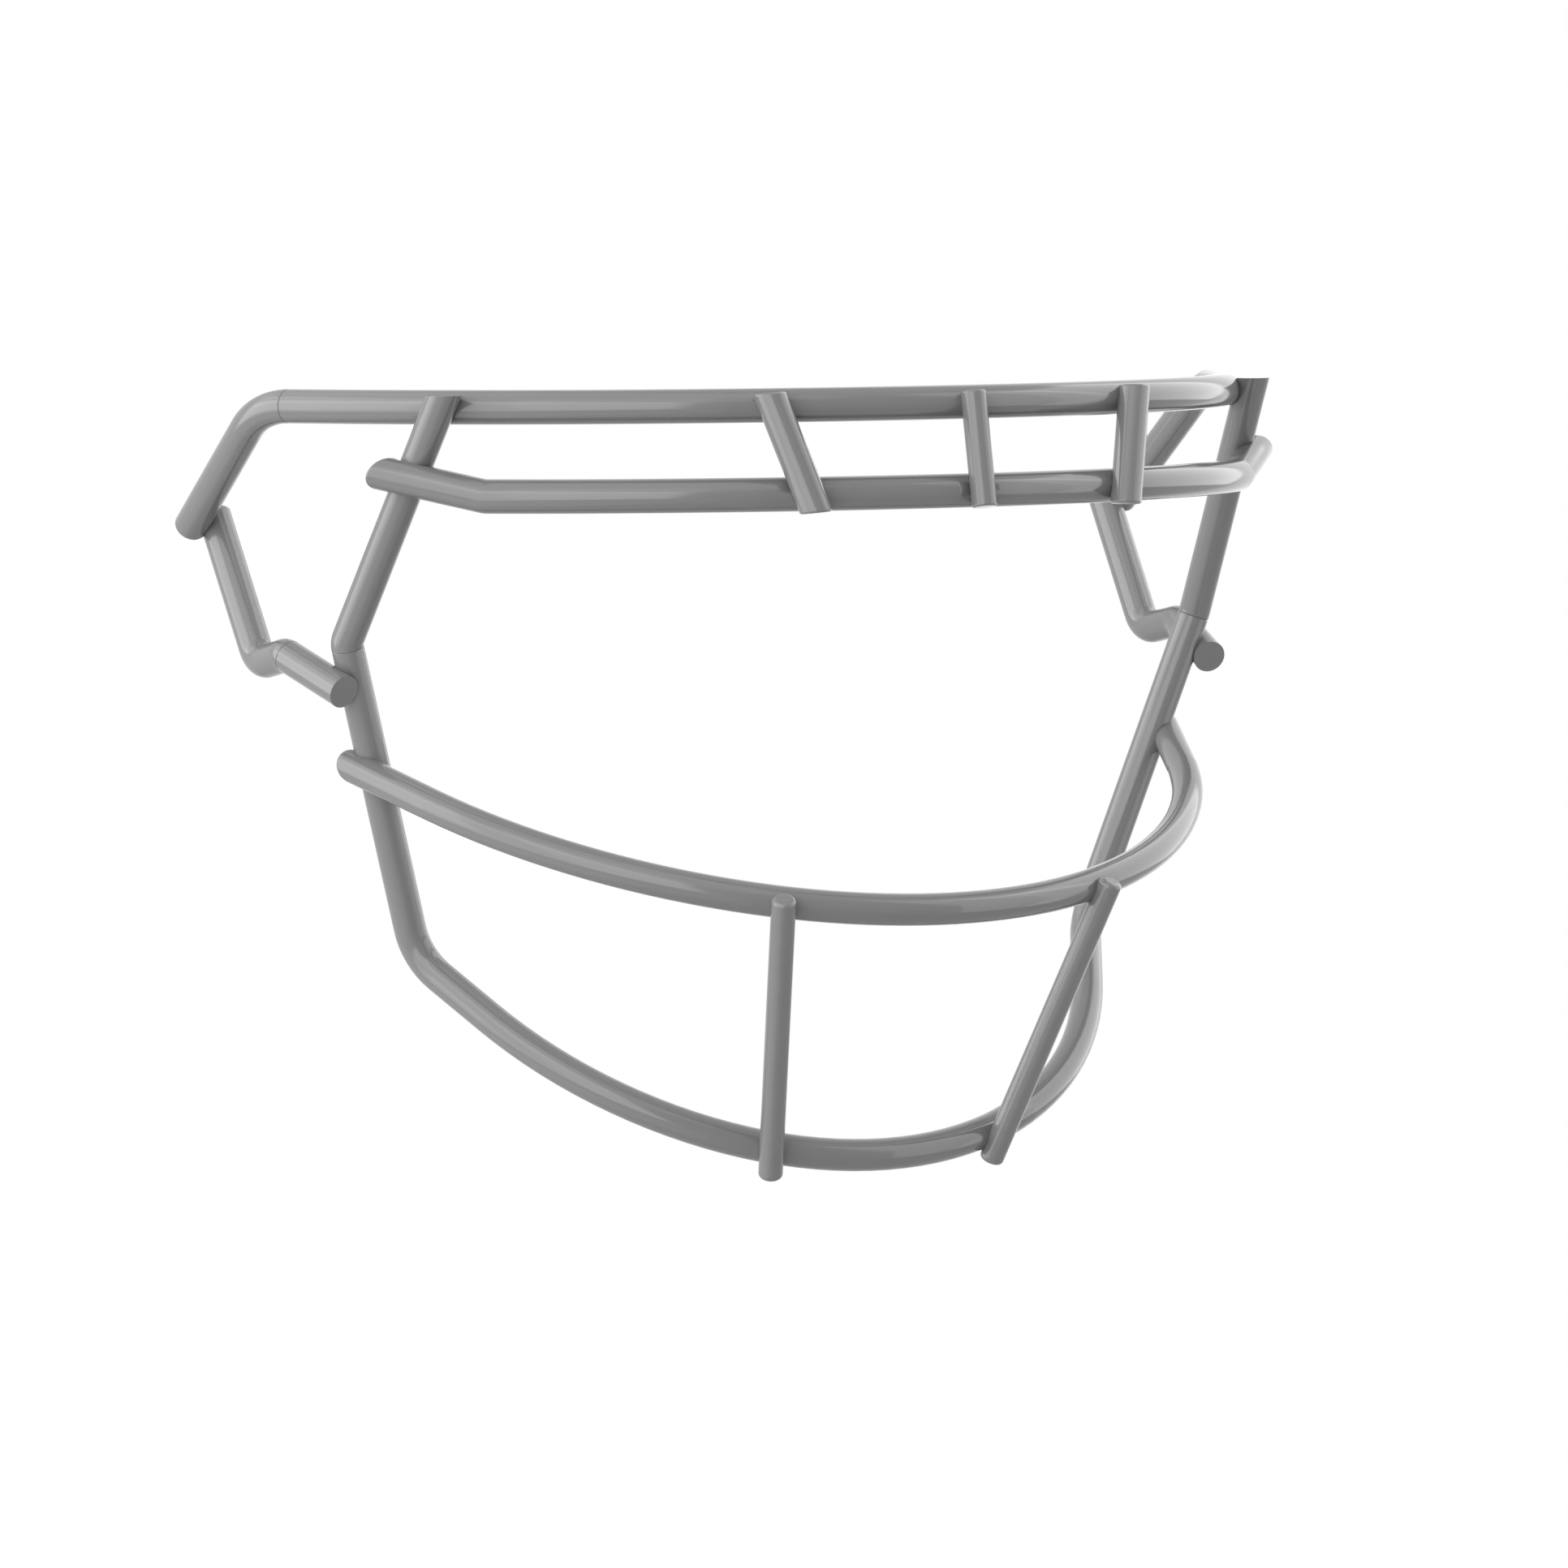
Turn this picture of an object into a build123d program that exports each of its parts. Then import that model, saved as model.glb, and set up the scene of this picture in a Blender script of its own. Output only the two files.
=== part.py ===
"""Football helmet facemask: coated steel rods, bent, butted end to end and welded into one rigid cage.

Millimetres. X runs across the face, with the wearer's left positive. Y runs from the face back to the ears.
Z is up. The origin is on the centre-line of the brow bar, in the middle of the face.
Every rod is laid out on the wearer's left and mirrored for the right.
"""
from build123d import *
from math import atan2, cos, degrees, radians, sin, tan
import os

# Rod diameters, measured over the baked coat
brow_bar_diameter = 6.8
lower_brow_bar_diameter = 6.8
hoop_diameter = 6.6
chin_bar_diameter = 6.5
side_arm_diameter = 6.8
outer_strut_diameter = 6.3
centre_strut_diameter = 5.1
lower_strut_diameter = 5.0

# How far two rods are pressed into each other where they are welded
weld_set_down = 1.6

# Cut ends: the stock left on before cutting, how free ends are rounded over, less on the brow struts, the
# side arms and the lower brow bar, and the hair's breadth taken off the rim of an end butted to another
cut_stock = 8.0
end_rounding = 1.0
light_rounding = 0.5
seam_chamfer = 0.15

# Brow bar: one level bow and a short straight run, then the corner bend and the leg back and down
brow_bow_radius = 114.5
brow_bow_angle = 67.0
brow_straight = 9.5
brow_corner_radius = 19.0
brow_leg_out = -0.5
brow_leg_back = 33.0
brow_leg_drop = 25.4

# Chin bar: two arcs and a straight end, in a plane that rises towards the ears
chin_setback = 4.8
chin_drop = 100.7
chin_rise_angle = 22.0
chin_front_radius = 97.0
chin_front_angle = 25.0
chin_side_radius = 99.0
chin_side_angle = 40.0
chin_straight = 22.0
chin_end_overhang = 2.4

# Jaw hoop: the bottom bar's two arcs, a straight run to the corner, and the side run up to the seam
hoop_setback = 32.0
hoop_drop = 152.2
hoop_rise_angle = 38.5
hoop_front_radius = 76.0
hoop_front_angle = 29.0
hoop_side_radius = 81.0
hoop_side_angle = 36.0
hoop_corner_run = 20.5
hoop_corner_radius = 11.7
hoop_side_length = 69.0

# Uprights: the bend above the seam, then straight up outside the brow bar to a level cut near its top
upright_bend_radius = 4.0
upright_brow_station = 105.7
upright_top_rise = 2.4

# Lower brow bar: a level bow, a kink, and from there a short leg over the outside of the upright, into which
# it is pressed further than the other rods. Its tip is cut on a slant, with its upper side the shorter.
lower_bow_forward = 3.1
lower_leg_out = 11.1
lower_leg_back = 11.9
lower_leg_rise = 3.45
lower_kink_run = 1.5
lower_kink_radius = 5.0
lower_leg_crossing_drop = 12.9
lower_leg_overhang = 6.4
lower_leg_set_down = 3.2
lower_tip_cut_rise = 0.8

# Side arm and foot: down from the inside of the brow leg to a corner, forward to a small bend, then the foot.
# The corner is placed from the leg's tip, and the bend from the corner.
arm_corner_in = 5.9
arm_corner_forward = 19.3
arm_corner_drop = 26.8
arm_bend_out = 0.4
arm_bend_forward = 12.2
arm_bend_rise = 2.2
arm_corner_radius = 5.5
arm_bend_radius = 3.8
arm_crossing_inset = 2.2
arm_top_overhang = 1.8
foot_crossing_drop = 7.3
foot_overhang = 3.5

# Struts: where each one crosses, along the bar from the middle, how far its ends stand past the crossings,
# and how far the outer struts' cuts are turned from square to the rod towards level
outer_strut_brow_station = 41.0
outer_strut_lower_station = 36.1
lower_strut_chin_station = 36.8
lower_strut_hoop_station = 25.8
outer_strut_top_overhang = 1.8
outer_strut_bottom_overhang = 4.8
centre_strut_top_overhang = 1.5
centre_strut_bottom_overhang = 4.0
lower_strut_top_overhang = 3.4
lower_strut_bottom_overhang = 4.4
outer_strut_level_share = 0.75

# Repeats that settle a rod on its seat, and the ways that count as outside and inside the cage, up and back
seat_passes = 6
outward = Vector(0.6, -1, 0)
inward = -outward
upward = Vector(0, 0, 1)
backward = Vector(0, 1, 0)


def bow(origin, rise, arcs):
    """The left half of a bar's bow, from the middle out: (radius, angle) arcs, each tangent to the last."""
    here, heading, edges = Vector(0, 0, 0), Vector(1, 0, 0), []
    for radius, angle in arcs:
        edges.append(JernArc(start=here, tangent=heading, radius=radius, arc_size=angle))
        here, heading = edges[-1] @ 1, edges[-1] % 1
    place = Pos(*origin) * Rot(X=rise)
    return [place * edge for edge in edges]


def straight_on(edges, length):
    """A point straight on from the end of a bow."""
    return edges[-1] @ 1 + (edges[-1] % 1) * length


def towards(start, end):
    """The direction from one point to another."""
    return (end - start).normalized()


def bend_reach(radius, before, after):
    """How far from its corner a bend between two directions begins."""
    return radius * tan(radians(before.get_angle(after)) / 2)


def side_of(direction, way):
    """The direction, turned about if it points against the way."""
    return direction if direction.dot(way) > 0 else -direction


def gap(first_diameter, second_diameter, set_down=weld_set_down):
    """Distance between the centre-lines of two rods that are pressed together and welded."""
    return (first_diameter + second_diameter) / 2 - set_down


def seat(point, along, far, distance, way):
    """Where a straight rod from far lies against another rod, on the side that faces the way."""
    centre = point
    for _ in range(seat_passes):
        centre = point + side_of(along.cross(far - centre).normalized(), way) * distance
    return centre


def laid_over(first, first_distance, second, second_distance):
    """The crossings of a straight rod laid over the outside of two bars, each bar as (point, direction)."""
    start, end = first[0], second[0]
    for _ in range(seat_passes):
        line = end - start
        start = first[0] + side_of(first[1].cross(line).normalized(), outward) * first_distance
        end = second[0] + side_of(second[1].cross(line).normalized(), outward) * second_distance
    return start, end


def station(edges, length):
    """The point and the direction of a bar's centre-line, that far along it from the middle."""
    path = Wire(edges)
    return (
        path.position_at(length, position_mode=PositionMode.LENGTH),
        path.tangent_at(length, position_mode=PositionMode.LENGTH),
    )


def bent(*corners, radii):
    """The edges of a path of straight runs joined by bends, in order."""
    return FilletPolyline(*corners, radius=radii).edges().sort_by_distance(corners[0])


def other_side(point):
    """The same point on the wearer's right."""
    return Vector(-point.X, point.Y, point.Z)


def rod(edges, diameter):
    """A round rod along a path."""
    path = Wire(edges)
    return sweep(Plane(origin=path @ 0, z_dir=path % 0) * Circle(diameter / 2), path=path)


def full_bar(half, diameter):
    """A bar over the whole face, from the left half of its path."""
    return rod([edge.mirror(Plane.YZ) for edge in half] + list(half), diameter)


def cut_rim(solid, end):
    """The rim of a rod's cut end."""
    return solid.faces().filter_by(GeomType.PLANE).sort_by_distance(end)[0].edges()


def eased(solid, rounding, *ends):
    """The rod with its free ends at these points rounded over."""
    for end in ends:
        solid = fillet(cut_rim(solid, end), rounding)
    return solid


def trimmed(solid, *ends):
    """The rod with the rims of its butted ends taken off, which leaves a fine line at the seam."""
    for end in ends:
        solid = chamfer(cut_rim(solid, end), seam_chamfer)
    return solid


def cut_off(solid, point, way):
    """The solid without what lies past a plane through the point, square to the way."""
    return split(solid, bisect_by=Plane(origin=point, z_dir=way), keep=Keep.BOTTOM)


def strut(crossings, diameter, top_overhang, bottom_overhang, rounding, level_share=0):
    """A straight rod through two crossings, cut past them square to itself or that share nearer to level."""
    line = towards(*crossings)
    start, end = crossings[0] - line * top_overhang, crossings[1] + line * bottom_overhang
    stick = rod([Line(start - line * cut_stock, end + line * cut_stock)], diameter)
    cut_way = upward * level_share - line * (1 - level_share)
    return eased(cut_off(cut_off(stick, start, cut_way), end, -cut_way), rounding, start, end)


# Brow bar and leg: the seam between them is where the corner bend begins
brow_bow = bow((0, 0, 0), 0, [(brow_bow_radius, brow_bow_angle)])
leg_vector = Vector(brow_leg_out, brow_leg_back, -brow_leg_drop)
corner_reach = bend_reach(brow_corner_radius, brow_bow[-1] % 1, leg_vector)
brow_corner = straight_on(brow_bow, brow_straight + corner_reach)
leg_tip = brow_corner + leg_vector
brow_run, *leg_path = bent(brow_bow[-1] @ 1, brow_corner, leg_tip, radii=[brow_corner_radius])
brow_half = [*brow_bow, brow_run]

# Chin bar
chin_arcs = [(chin_front_radius, chin_front_angle), (chin_side_radius, chin_side_angle)]
chin_bow = bow((0, chin_setback, -chin_drop), chin_rise_angle, chin_arcs)
chin_tip = straight_on(chin_bow, chin_straight)
chin_half = [*chin_bow, Line(chin_bow[-1] @ 1, straight_on(chin_bow, chin_straight + cut_stock))]

# Jaw hoop and upright: the side run seats inside the chin bar's end, the upright outside the brow bar
hoop_arcs = [(hoop_front_radius, hoop_front_angle), (hoop_side_radius, hoop_side_angle)]
hoop_bow = bow((0, hoop_setback, -hoop_drop), hoop_rise_angle, hoop_arcs)
hoop_corner = straight_on(hoop_bow, hoop_corner_run)
chin_crossing = straight_on(chin_bow, chin_straight - chin_end_overhang)
chin_gap = gap(chin_bar_diameter, hoop_diameter)
side_line = towards(hoop_corner, seat(chin_crossing, chin_bow[-1] % 1, hoop_corner, chin_gap, inward))
side_bend = hoop_corner + side_line * hoop_side_length
upright_gap = gap(brow_bar_diameter, hoop_diameter)
brow_seat = seat(*station(brow_half, upright_brow_station), side_bend, upright_gap, outward)
upright_line = towards(side_bend, brow_seat)
upright_top = brow_seat + upright_line * cut_stock
hoop_path = bent(
    hoop_bow[-1] @ 1, hoop_corner, side_bend, upright_top, radii=[hoop_corner_radius, upright_bend_radius]
)
hoop_half = [*hoop_bow, *hoop_path[:3]]
upright_path = hoop_path[3:]

# Lower brow bar: its leg seats outside the upright, and its bow is the arc from the middle to the kink
upright_crossing = side_bend + upright_line * ((-lower_leg_crossing_drop - side_bend.Z) / upright_line.Z)
lower_leg = Vector(lower_leg_out, lower_leg_back, lower_leg_rise)
lower_way = side_of(upright_line.cross(lower_leg).normalized(), outward)
lower_seat = upright_crossing + lower_way * gap(lower_brow_bar_diameter, hoop_diameter, lower_leg_set_down)
lower_tip = lower_seat + lower_leg.normalized() * lower_leg_overhang
lower_kink = lower_seat - lower_leg
lower_turn = 2 * atan2(lower_kink.Y + lower_bow_forward, lower_kink.X + lower_kink_run)
lower_bow_radius = (lower_kink.X - lower_kink_run * cos(lower_turn)) / sin(lower_turn)
lower_bow = bow((0, -lower_bow_forward, lower_kink.Z), 0, [(lower_bow_radius, degrees(lower_turn))])
lower_stock_end = lower_tip + lower_leg.normalized() * cut_stock
lower_half = [*lower_bow, *bent(lower_bow[-1] @ 1, lower_kink, lower_stock_end, radii=[lower_kink_radius])]

# Side arm and foot: the arm seats inside the leg, the foot outside the hoop's side run
arm_corner = leg_tip + Vector(-arm_corner_in, -arm_corner_forward, -arm_corner_drop)
arm_bend = arm_corner + Vector(arm_bend_out, -arm_bend_forward, arm_bend_rise)
leg_line = towards(brow_corner, leg_tip)
arm_crossing = leg_tip - leg_line * arm_crossing_inset
arm_gap = gap(brow_bar_diameter, side_arm_diameter)
arm_seat = seat(arm_crossing, leg_line, arm_corner, arm_gap, Vector(-1, 0, 0))
arm_top = arm_seat + towards(arm_corner, arm_seat) * arm_top_overhang
foot_crossing = side_bend - side_line * foot_crossing_drop
foot_seat = seat(foot_crossing, side_line, arm_bend, gap(side_arm_diameter, hoop_diameter), outward)
foot_tip = foot_seat + towards(arm_bend, foot_seat) * foot_overhang
arm_radii = [arm_corner_radius, arm_bend_radius]
*arm_path, foot_run = bent(arm_top, arm_corner, arm_bend, foot_tip, radii=arm_radii)

# Struts
outer_crossings = laid_over(
    station(brow_half, outer_strut_brow_station), gap(brow_bar_diameter, outer_strut_diameter),
    station(lower_half, outer_strut_lower_station), gap(lower_brow_bar_diameter, outer_strut_diameter),
)
centre_crossings = laid_over(
    station(brow_half, 0), gap(brow_bar_diameter, centre_strut_diameter),
    station(lower_half, 0), gap(lower_brow_bar_diameter, centre_strut_diameter),
)
lower_crossings = laid_over(
    station(chin_half, lower_strut_chin_station), gap(chin_bar_diameter, lower_strut_diameter),
    station(hoop_half, lower_strut_hoop_station), gap(hoop_diameter, lower_strut_diameter),
)

# The rods, with the ends that butt against each other at a seam. The chin bar's tips are cut straight across
# the cage, and the uprights level.
brow_seam, hoop_seam, foot_seam = brow_run @ 1, hoop_half[-1] @ 1, foot_run @ 0
lower_cut = Vector(1, 0, lower_tip_cut_rise)
lower_stick = cut_off(full_bar(lower_half, lower_brow_bar_diameter), lower_tip, lower_cut)
lower_stick = cut_off(lower_stick, other_side(lower_tip), other_side(lower_cut))
chin_stick = cut_off(full_bar(chin_half, chin_bar_diameter), chin_tip, backward)
upright_stick = trimmed(rod(upright_path, hoop_diameter), hoop_seam)
pieces = {
    "brow_bar": trimmed(full_bar(brow_half, brow_bar_diameter), brow_seam, other_side(brow_seam)),
    "lower_brow_bar": eased(lower_stick, light_rounding, lower_tip, other_side(lower_tip)),
    "chin_bar": eased(chin_stick, end_rounding, chin_tip, other_side(chin_tip)),
    "jaw_hoop": trimmed(full_bar(hoop_half, hoop_diameter), hoop_seam, other_side(hoop_seam)),
    "brow_strut_centre": strut(
        centre_crossings, centre_strut_diameter, centre_strut_top_overhang, centre_strut_bottom_overhang,
        light_rounding,
    ),
}
left_pieces = {
    "brow_leg": trimmed(eased(rod(leg_path, brow_bar_diameter), end_rounding, leg_tip), brow_seam),
    "upright": cut_off(upright_stick, upward * upright_top_rise, upward),
    "side_arm": trimmed(eased(rod(arm_path, side_arm_diameter), light_rounding, arm_top), foot_seam),
    "arm_foot": trimmed(rod([foot_run], side_arm_diameter), foot_seam),
    "brow_strut": strut(
        outer_crossings, outer_strut_diameter, outer_strut_top_overhang, outer_strut_bottom_overhang,
        light_rounding, outer_strut_level_share,
    ),
    "lower_strut": strut(
        lower_crossings, lower_strut_diameter, lower_strut_top_overhang, lower_strut_bottom_overhang,
        end_rounding,
    ),
}
for name, solid in left_pieces.items():
    pieces[name + "_left"] = solid
    pieces[name + "_right"] = solid.mirror(Plane.YZ)

# Crossings on the wearer's left, by weld group; those of a centre piece are on neither side
weld_groups = {
    "upright_welds": [("brow_bar", "upright_left"), ("lower_brow_bar", "upright_left")],
    "brow_bar_strut_welds": [("brow_bar", "brow_strut_left"), ("brow_bar", "brow_strut_centre")],
    "lower_bar_strut_welds": [("lower_brow_bar", "brow_strut_left"), ("lower_brow_bar", "brow_strut_centre")],
    "side_arm_welds": [("brow_leg_left", "side_arm_left"), ("jaw_hoop", "arm_foot_left")],
    "chin_bar_welds": [("chin_bar", "jaw_hoop")],
    "lower_strut_welds": [("chin_bar", "lower_strut_left"), ("jaw_hoop", "lower_strut_left")],
}


def both_sides(pair):
    """A crossing and its mirror image, once if it has none."""
    return dict.fromkeys([pair, tuple(name.replace("_left", "_right") for name in pair)])


# The metal that two rods share where they are pressed together is the weld nugget, taken from both rods
welds = {}
for group, pairs in weld_groups.items():
    nuggets = []
    for first, second in [crossing for pair in pairs for crossing in both_sides(pair)]:
        nuggets += (pieces[first] & pieces[second]).solids()
        pieces[first], pieces[second] = pieces[first] - pieces[second], pieces[second] - pieces[first]
    welds[group] = Compound(children=nuggets)

os.makedirs("parts", exist_ok=True)
for name, shape in {**pieces, **welds}.items():
    export_step(shape, f"parts/{name}.step")
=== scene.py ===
"""Football helmet facemask, dressed as a new one: coated steel rods, bent and welded into one rigid cage.

Metres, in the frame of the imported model: X across the face, Y back to the ears, Z up, origin on the brow bar.
"""
from math import copysign, cos, pi, radians, sin, tan

import bmesh
import bpy
from mathutils import Matrix, Vector


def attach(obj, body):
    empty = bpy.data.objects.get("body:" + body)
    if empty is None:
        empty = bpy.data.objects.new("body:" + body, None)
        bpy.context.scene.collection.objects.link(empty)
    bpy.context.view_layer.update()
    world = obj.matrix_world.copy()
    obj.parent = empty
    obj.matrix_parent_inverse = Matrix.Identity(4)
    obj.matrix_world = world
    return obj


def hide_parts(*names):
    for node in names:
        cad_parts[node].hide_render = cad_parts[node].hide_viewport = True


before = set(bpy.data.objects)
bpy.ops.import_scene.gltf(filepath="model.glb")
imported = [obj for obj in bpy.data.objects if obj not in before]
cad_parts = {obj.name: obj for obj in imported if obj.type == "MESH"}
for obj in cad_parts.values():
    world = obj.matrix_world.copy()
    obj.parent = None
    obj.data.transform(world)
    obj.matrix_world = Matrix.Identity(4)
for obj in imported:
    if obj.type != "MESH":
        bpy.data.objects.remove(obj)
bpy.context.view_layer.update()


# Brow bar and its legs
# The heaviest bar, over the eyes: cold drawn steel wire bent on a form, with a leg butted to each end that
# drops to the ear. The whole cage is welded bare, blasted, then sprayed with polyester powder and baked.
def linear(hex_colour):
    """A colour socket's value for an sRGB hex colour."""
    shares = [int(hex_colour[start : start + 2], 16) / 255 for start in (1, 3, 5)]
    return [share / 12.92 if share <= 0.04045 else ((share + 0.055) / 1.055) ** 2.4 for share in shares] + [1]


def add(tree, kind, links=None, **settings):
    """A node with its settings; links maps its inputs to values, or to the sockets that feed them."""
    node = tree.nodes.new(kind)
    for name, value in settings.items():
        setattr(node, name, value)
    for name, value in (links or {}).items():
        if isinstance(value, bpy.types.NodeSocket):
            tree.links.new(value, node.inputs[name])
        else:
            node.inputs[name].default_value = value
    return node


def finish_named(name):
    """A new material, with its tree cleared for the nodes to come."""
    finish = bpy.data.materials.new(name)
    finish.use_nodes = True
    finish.node_tree.nodes.clear()
    return finish, finish.node_tree


def baked_powder_coat():
    """Polyester powder, melted and baked on blasted steel: a smooth grey film with a soft gloss.

    It shows the lamps as bands with nearly sharp edges, and wires that lie close to each other. Up close it
    has a faint orange peel, about 1.6 mm from crest to crest, and its grey and its gloss drift a little over
    some centimetres, where the powder lay thicker.
    """
    peel_size, peel_depth, peel_strength = 0.0016, 0.00003, 0.04
    drift_size, thin_grey, thick_grey = 0.03, "#6d6d6d", "#717171"
    thin_roughness, thick_roughness = 0.12, 0.14
    coat, tree = finish_named("baked_powder_coat")
    place = add(tree, "ShaderNodeTexCoord").outputs["Object"]
    peel = add(tree, "ShaderNodeTexNoise", {"Vector": place, "Scale": 1 / peel_size, "Detail": 1.0})
    bump = add(tree, "ShaderNodeBump", {
        "Height": peel.outputs["Fac"], "Strength": peel_strength, "Distance": peel_depth,
    })
    drift = add(tree, "ShaderNodeTexNoise", {"Vector": place, "Scale": 1 / drift_size, "Detail": 3.0})
    grey = add(tree, "ShaderNodeMix", {
        "Factor": drift.outputs["Fac"], "A": linear(thin_grey), "B": linear(thick_grey),
    }, data_type="RGBA")
    gloss = add(tree, "ShaderNodeMapRange", {
        "Value": drift.outputs["Fac"], "To Min": thin_roughness, "To Max": thick_roughness,
    })
    film = add(tree, "ShaderNodeBsdfPrincipled", {
        "Base Color": grey.outputs["Result"], "Roughness": gloss.outputs["Result"], "IOR": 1.5,
        "Normal": bump.outputs["Normal"],
    })
    add(tree, "ShaderNodeOutputMaterial", {"Surface": film.outputs["BSDF"]})
    return coat


def dress(finish, *names):
    """Gives each of these nodes one finish."""
    for name in names:
        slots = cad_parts[name].data.materials
        slots.clear()
        slots.append(finish)


def stand_in(name, mesh, node):
    """A piece with this mesh that stands for a node of coated rod."""
    piece = bpy.data.objects.new(name, mesh)
    bpy.context.scene.collection.objects.link(piece)
    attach(piece, "root")
    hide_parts(node)
    return piece


coat = baked_powder_coat()
dress(coat, "brow_bar", "brow_leg_left", "brow_leg_right")


# Lower brow bar
# The second heavy bar, a finger's breadth below the first: the same wire, bowed on the same form and kinked
# near each end, so that its short legs lie over the outside of the uprights. Each tip is ground back on a
# slant, so that its cut faces back towards the ear and up.
def ground_tip(mesh, tip, way, grind_way):
    """Takes a few millimetres off a rod's tip and closes it with a ground face, its rim eased round."""
    taken_off, radius, rim_rounding, rim_steps = 0.007, 0.0034, 0.0009, 6
    start = tip - way * taken_off
    whole = mesh.verts[:] + mesh.edges[:] + mesh.faces[:]
    cut = bmesh.ops.bisect_plane(mesh, geom=whole, plane_co=start, plane_no=way, clear_outer=True)
    ring = [edge for edge in cut["geom_cut"] if isinstance(edge, bmesh.types.BMEdge)]
    for share in [step / rim_steps for step in range(rim_steps + 1)]:
        inset, set_back = rim_rounding * share**2, rim_rounding * (1 - share) ** 2
        grown = bmesh.ops.extrude_edge_only(mesh, edges=ring)["geom"]
        for vertex in [part for part in grown if isinstance(part, bmesh.types.BMVert)]:
            spoke = vertex.co - start
            spoke = (spoke - way * spoke.dot(way)).normalized() * (radius - inset)
            reach = (tip - start - spoke).dot(grind_way) / way.dot(grind_way)
            vertex.co = start + spoke + way * (reach - set_back)
        ring = [edge for edge in grown if isinstance(edge, bmesh.types.BMEdge) and edge.is_boundary]
    bmesh.ops.contextual_create(mesh, geom=ring)


def put_in_order(mesh):
    """Numbers a mesh's parts along a slanted line, since extruding numbers its new parts anew each run."""
    line = Vector((1, 0.317, 0.0713))
    mesh.verts.sort(key=lambda vertex: vertex.co.dot(line))
    mesh.edges.sort(key=lambda edge: sum(vertex.co.dot(line) for vertex in edge.verts))
    mesh.faces.sort(key=lambda face: face.calc_center_median().dot(line))


def with_ground_tips(node, name):
    """A copy of the lower bar that stands for it, with both tips ground."""
    tip, way = Vector((0.1027, 0.0515, -0.0128)), Vector((0.667, 0.715, 0.207))
    grind_way = Vector((0.12, 0.9, 0.41))
    smallest_edge = 0.00001
    mesh = bmesh.new()
    mesh.from_mesh(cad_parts[node].data)
    for side in (Vector((1, 1, 1)), Vector((-1, 1, 1))):
        ground_tip(mesh, tip * side, (way * side).normalized(), grind_way * side)
    bmesh.ops.remove_doubles(mesh, verts=mesh.verts[:], dist=smallest_edge)
    put_in_order(mesh)
    for face in mesh.faces:
        face.smooth = True
    ground = bpy.data.meshes.new(name)
    mesh.to_mesh(ground)
    mesh.free()
    ground.materials.append(coat)
    return stand_in(name, ground, node)


dress(coat, "lower_brow_bar")
with_ground_tips("lower_brow_bar", "lower_brow_bar_ground")

# Brow struts
# Three short lengths of straight wire laid over the outside of both brow bars, the middle one lighter.
# Their ends are sheared and then tumbled, which rounds the rims before they are welded on.
dress(coat, "brow_strut_left", "brow_strut_centre", "brow_strut_right")

# Jaw hoop and uprights
# One long wire makes both lower sides and the bottom bar. The uprights are butted to its ends below the
# side bends and rise over the outside of the brow bar, where they are ground off level.
dress(coat, "jaw_hoop", "upright_left", "upright_right")


# Chin bar and lower struts
# The chin bar is bowed to stand well clear of the mouth. Its ends turn in a little more than its bow, are
# laid outside the hoop and are pressed into it. Two light struts run down to the bottom bar and tie the two
# together.
def with_ends_turned_in(node, name):
    """A copy of the chin bar that stands for it, with both ends bent in a little further, onto the hoop."""
    bend_start, way = Vector((0.0795, 0.044, -0.0848)), Vector((0.42, 0.84, 0.34))
    bend_length, turn_in = 0.036, Vector((-0.0011, 0.0019, 0))
    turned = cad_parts[node].data.copy()
    for vertex in turned.vertices:
        side = Vector((copysign(1, vertex.co.x), 1, 1))
        share = (vertex.co * side - bend_start).dot(way) / bend_length
        if share > 0:
            vertex.co += turn_in * side * share**2
    return stand_in(name, turned, node)


dress(coat, "chin_bar", "lower_strut_left", "lower_strut_right")
with_ends_turned_in("chin_bar", "chin_bar_turned_in")

# Side arms and feet
# Each arm hooks down from the inside of a brow leg and turns forward to its foot, a straight stub that is
# butted on and lies against the outside of the hoop. A side strap loops round the arm.
dress(coat, "side_arm_left", "side_arm_right", "arm_foot_left", "arm_foot_right")


# Welds
# Where two wires cross they are clamped between electrodes and a short, heavy current fuses them, so each
# sinks into the other. The fused nugget is bare steel and lies inside. At the chin bar a hair of its rim
# comes out, and that is coated like the wires.
def fused_steel():
    """Mild steel, melted and frozen in the joint: matt grey, with dendrites under a millimetre across."""
    grain_size, dark_grey, light_grey, roughness = 0.0006, "#8c8a87", "#a5a3a0", 0.5
    steel, tree = finish_named("fused_mild_steel")
    place = add(tree, "ShaderNodeTexCoord").outputs["Object"]
    grain = add(tree, "ShaderNodeTexVoronoi", {"Vector": place, "Scale": 1 / grain_size})
    tone = add(tree, "ShaderNodeMix", {
        "Factor": grain.outputs["Distance"], "A": linear(dark_grey), "B": linear(light_grey),
    }, data_type="RGBA")
    metal = add(tree, "ShaderNodeBsdfPrincipled", {
        "Base Color": tone.outputs["Result"], "Metallic": 1.0, "Roughness": roughness,
    })
    add(tree, "ShaderNodeOutputMaterial", {"Surface": metal.outputs["BSDF"]})
    return steel


dress(fused_steel(), "upright_welds", "brow_bar_strut_welds", "lower_bar_strut_welds", "side_arm_welds",
      "lower_strut_welds")
dress(coat, "chin_bar_welds")

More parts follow.
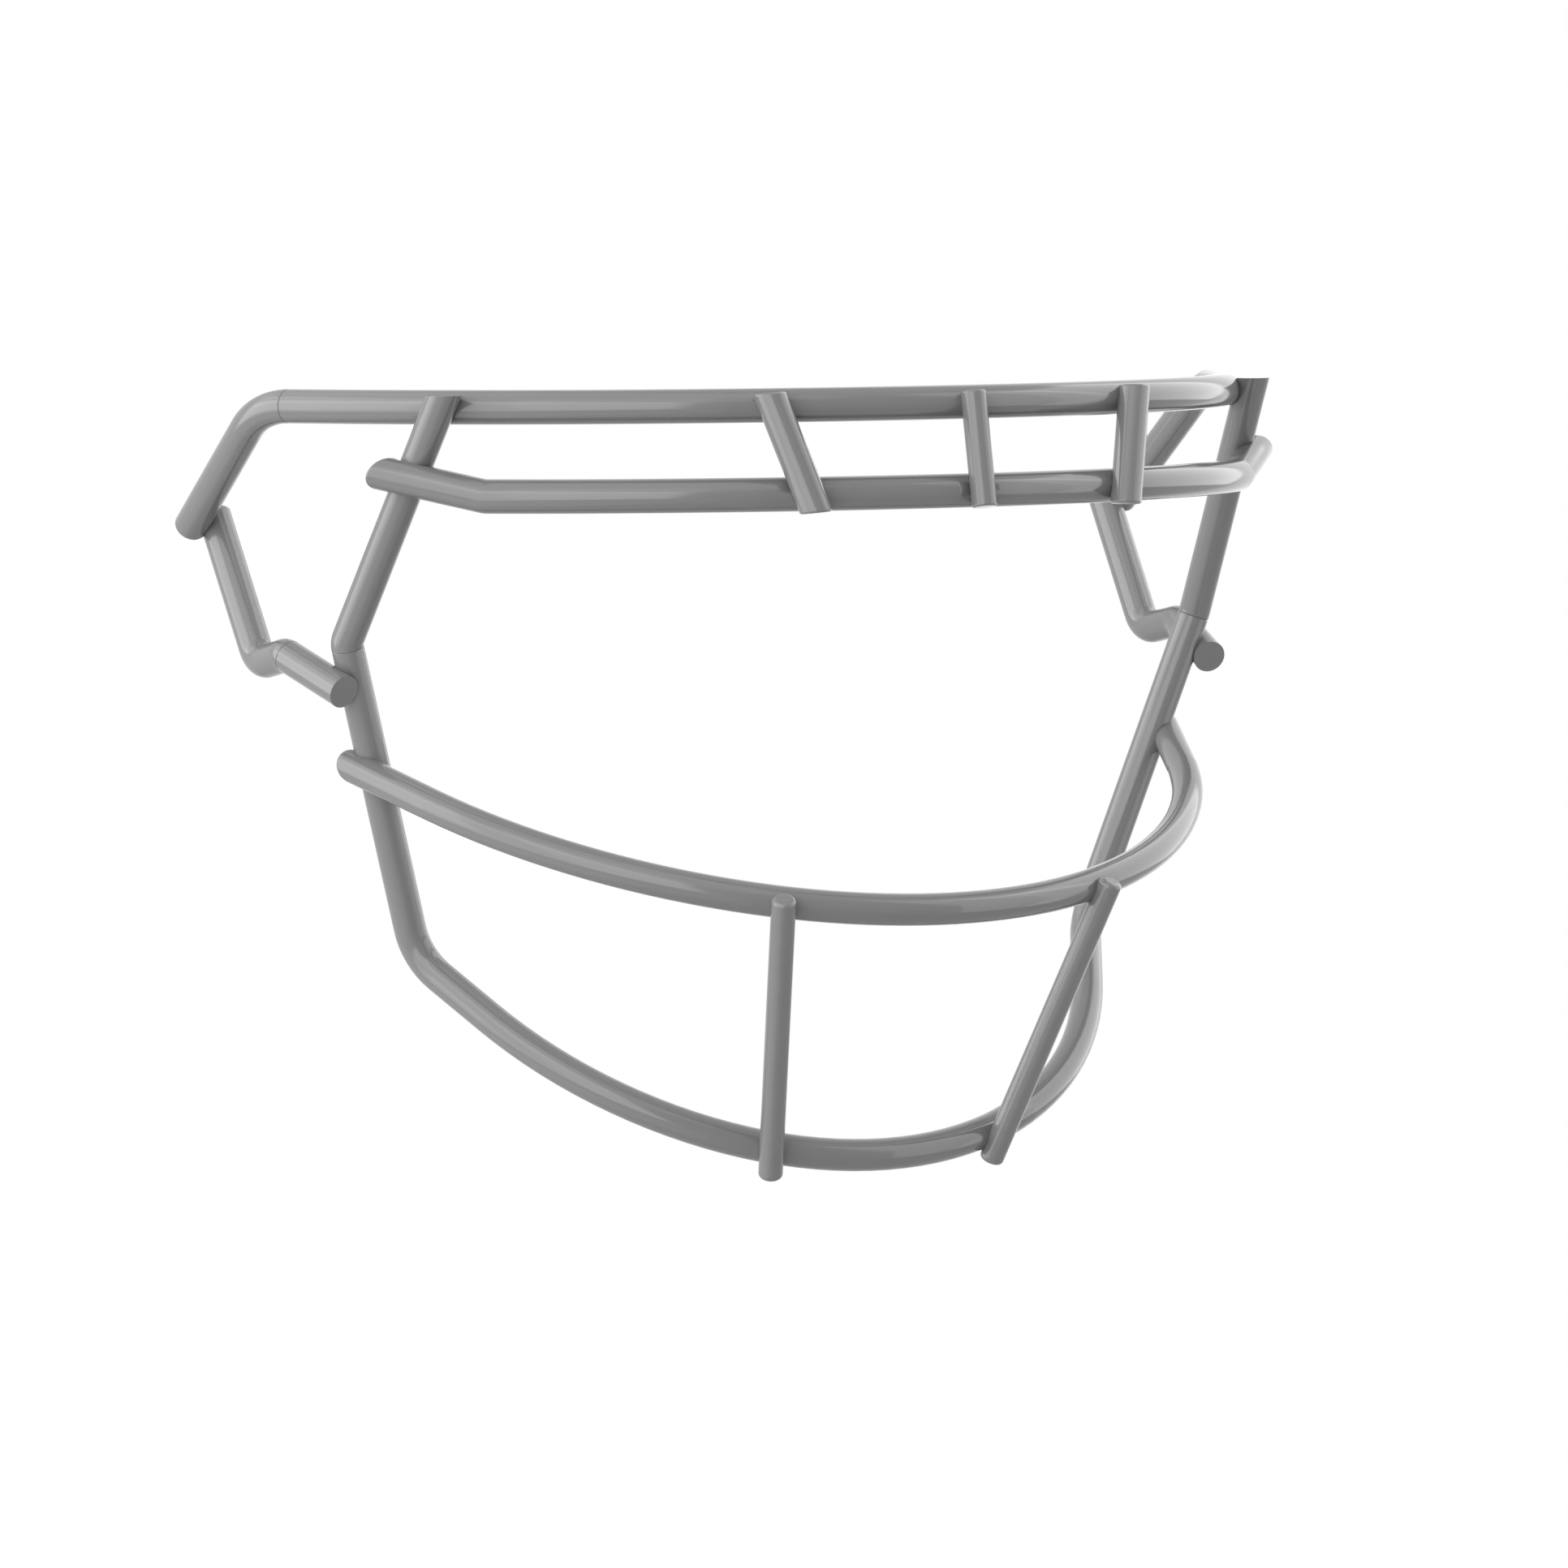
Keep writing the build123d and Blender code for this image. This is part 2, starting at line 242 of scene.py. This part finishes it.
# Camera
# A long lens a little above the brow bar, thirty degrees round to the wearer's right of straight ahead.
camera_azimuth, camera_elevation, camera_roll = radians(-30.2225), radians(3.8399), radians(0.5078)
camera_place = Vector((-0.9306, -1.5261, 0.0446))
picture_px, focal_px = 1932, 11139
sensor_width = 36
level = cos(camera_elevation)
ahead = Vector((-sin(camera_azimuth) * level, cos(camera_azimuth) * level, -sin(camera_elevation)))
rightward = Vector((cos(camera_azimuth), sin(camera_azimuth), 0))
downward = ahead.cross(rightward)
across = cos(camera_roll) * rightward + sin(camera_roll) * downward
upward = sin(camera_roll) * rightward - cos(camera_roll) * downward
turned_to_mask = Matrix((across, upward, -ahead)).transposed().to_4x4()
camera = bpy.data.objects.new("camera", bpy.data.cameras.new("camera"))
bpy.context.scene.collection.objects.link(camera)
camera.matrix_world = Matrix.Translation(camera_place) @ turned_to_mask
camera.data.sensor_width = sensor_width
camera.data.lens = sensor_width * focal_px / picture_px
camera.data.clip_start, camera.data.clip_end = 0.1, 50
bpy.context.scene.camera = camera

# Lights
# To the left of the camera's line stand a front box and a stronger one at the side, with broad washes
# behind, above and below them. To its right stand a narrow strip and a strong narrow box, with a weak wash
# above, and behind the mask a strong box and a dim one. The gap between the strip and the front box shows
# on every wire as the dark band down its middle.
middle = Vector((0, 0.05, -0.08))


def softbox(name, around, above, wide, high, radiance, distance=1.6):
    """A lamp facing the mask, placed by angles from the camera's line and sized by the angles that it fills.

    The angles are in degrees, seen from the mask's middle, and the distance is in metres.
    """
    turn, lift = radians(around), radians(above)
    way = (rightward * sin(turn) - ahead * cos(turn)) * cos(lift) - downward * sin(lift)
    lamp = bpy.data.lights.new(name, "AREA")
    lamp.shape = "RECTANGLE"
    lamp.size, lamp.size_y = [2 * distance * tan(radians(spread) / 2) for spread in (wide, high)]
    lamp.energy = radiance * pi * lamp.size * lamp.size_y
    box = bpy.data.objects.new(name, lamp)
    bpy.context.scene.collection.objects.link(box)
    side = (-downward).cross(way).normalized()
    turned = Matrix((side, way.cross(side), way)).transposed().to_4x4()
    box.matrix_world = Matrix.Translation(middle + way * distance) @ turned
    box.visible_camera = False


softbox("front_box", -15, 15, 36, 70, 0.75)
softbox("left_box", -81, 17, 54, 62, 1.22)
softbox("left_wash", -52, 5, 106, 60, 1.8, 1.9)
softbox("high_wash", -52, 55, 110, 70, 0.58, 1.9)
softbox("low_wash", -56, -41, 110, 42, 0.3, 1.0)
softbox("right_strip", 71, 15, 22, 78, 1.24)
softbox("right_wash", 65, 66, 60, 40, 0.24)
softbox("right_box", 89, 15, 14, 78, 1.8)
softbox("back_box", 121, 21, 50, 62, 2.0)
softbox("far_box", 165, 10, 38, 80, 0.4)


# Floor
# A round of pale paper below the mask. Its rim fades out, so no edge shows against the white.
def seen(tree):
    """A socket that is 1 for rays that show a surface, straight, in a gloss or through glass, and else 0."""
    ray = add(tree, "ShaderNodeLightPath").outputs
    shown = add(tree, "ShaderNodeMath", {
        0: ray["Is Camera Ray"], 1: ray["Is Glossy Ray"],
    }, operation="MAXIMUM")
    shown = add(tree, "ShaderNodeMath", {
        0: shown.outputs[0], 1: ray["Is Transmission Ray"],
    }, operation="MAXIMUM")
    return shown.outputs[0]


floor_drop, floor_radius, floor_fade = 1.2, 2.0, 0.8
floor_sides = 128
floor_mesh = bpy.data.meshes.new("floor")
turns = [2 * pi * step / floor_sides for step in range(floor_sides)]
rim = [(floor_radius * cos(turn), floor_radius * sin(turn), -floor_drop) for turn in turns]
floor_mesh.from_pydata(rim, [], [range(floor_sides)])
floor = bpy.data.objects.new("floor", floor_mesh)
bpy.context.scene.collection.objects.link(floor)
paper, tree = finish_named("pale_paper")
tint = add(tree, "ShaderNodeMix", {
    "Factor": seen(tree), "A": linear("#a0a0a0"), "B": linear("#f4f4f4"),
}, data_type="RGBA")
sheet = add(tree, "ShaderNodeBsdfDiffuse", {"Color": tint.outputs["Result"]})
place = add(tree, "ShaderNodeTexCoord").outputs["Object"]
reach = add(tree, "ShaderNodeVectorMath", {0: place, 1: (0, 0, -floor_drop)}, operation="DISTANCE")
fade = add(tree, "ShaderNodeMapRange", {
    "Value": reach.outputs["Value"], "From Min": floor_radius - floor_fade, "From Max": floor_radius,
}, interpolation_type="SMOOTHSTEP")
clear = add(tree, "ShaderNodeBsdfTransparent")
faded = add(tree, "ShaderNodeMixShader", {
    0: fade.outputs["Result"], 1: sheet.outputs[0], 2: clear.outputs[0],
})
add(tree, "ShaderNodeOutputMaterial", {"Surface": faded.outputs[0]})
floor_mesh.materials.append(paper)

# Surroundings
# White all round, as the camera and the gloss of the coat see it, and dim as a light, so the lamps shape
# the wires.
as_light, as_seen = 0.23, 1.0
world = bpy.data.worlds.new("studio")
bpy.context.scene.world = world
world.use_nodes = True
tree = world.node_tree
tree.nodes.clear()
strength = add(tree, "ShaderNodeMapRange", {"Value": seen(tree), "To Min": as_light, "To Max": as_seen})
sky = add(tree, "ShaderNodeBackground", {"Color": linear("#ffffff"), "Strength": strength.outputs["Result"]})
add(tree, "ShaderNodeOutputWorld", {"Surface": sky.outputs["Background"]})
bpy.context.scene.view_settings.view_transform = "Standard"
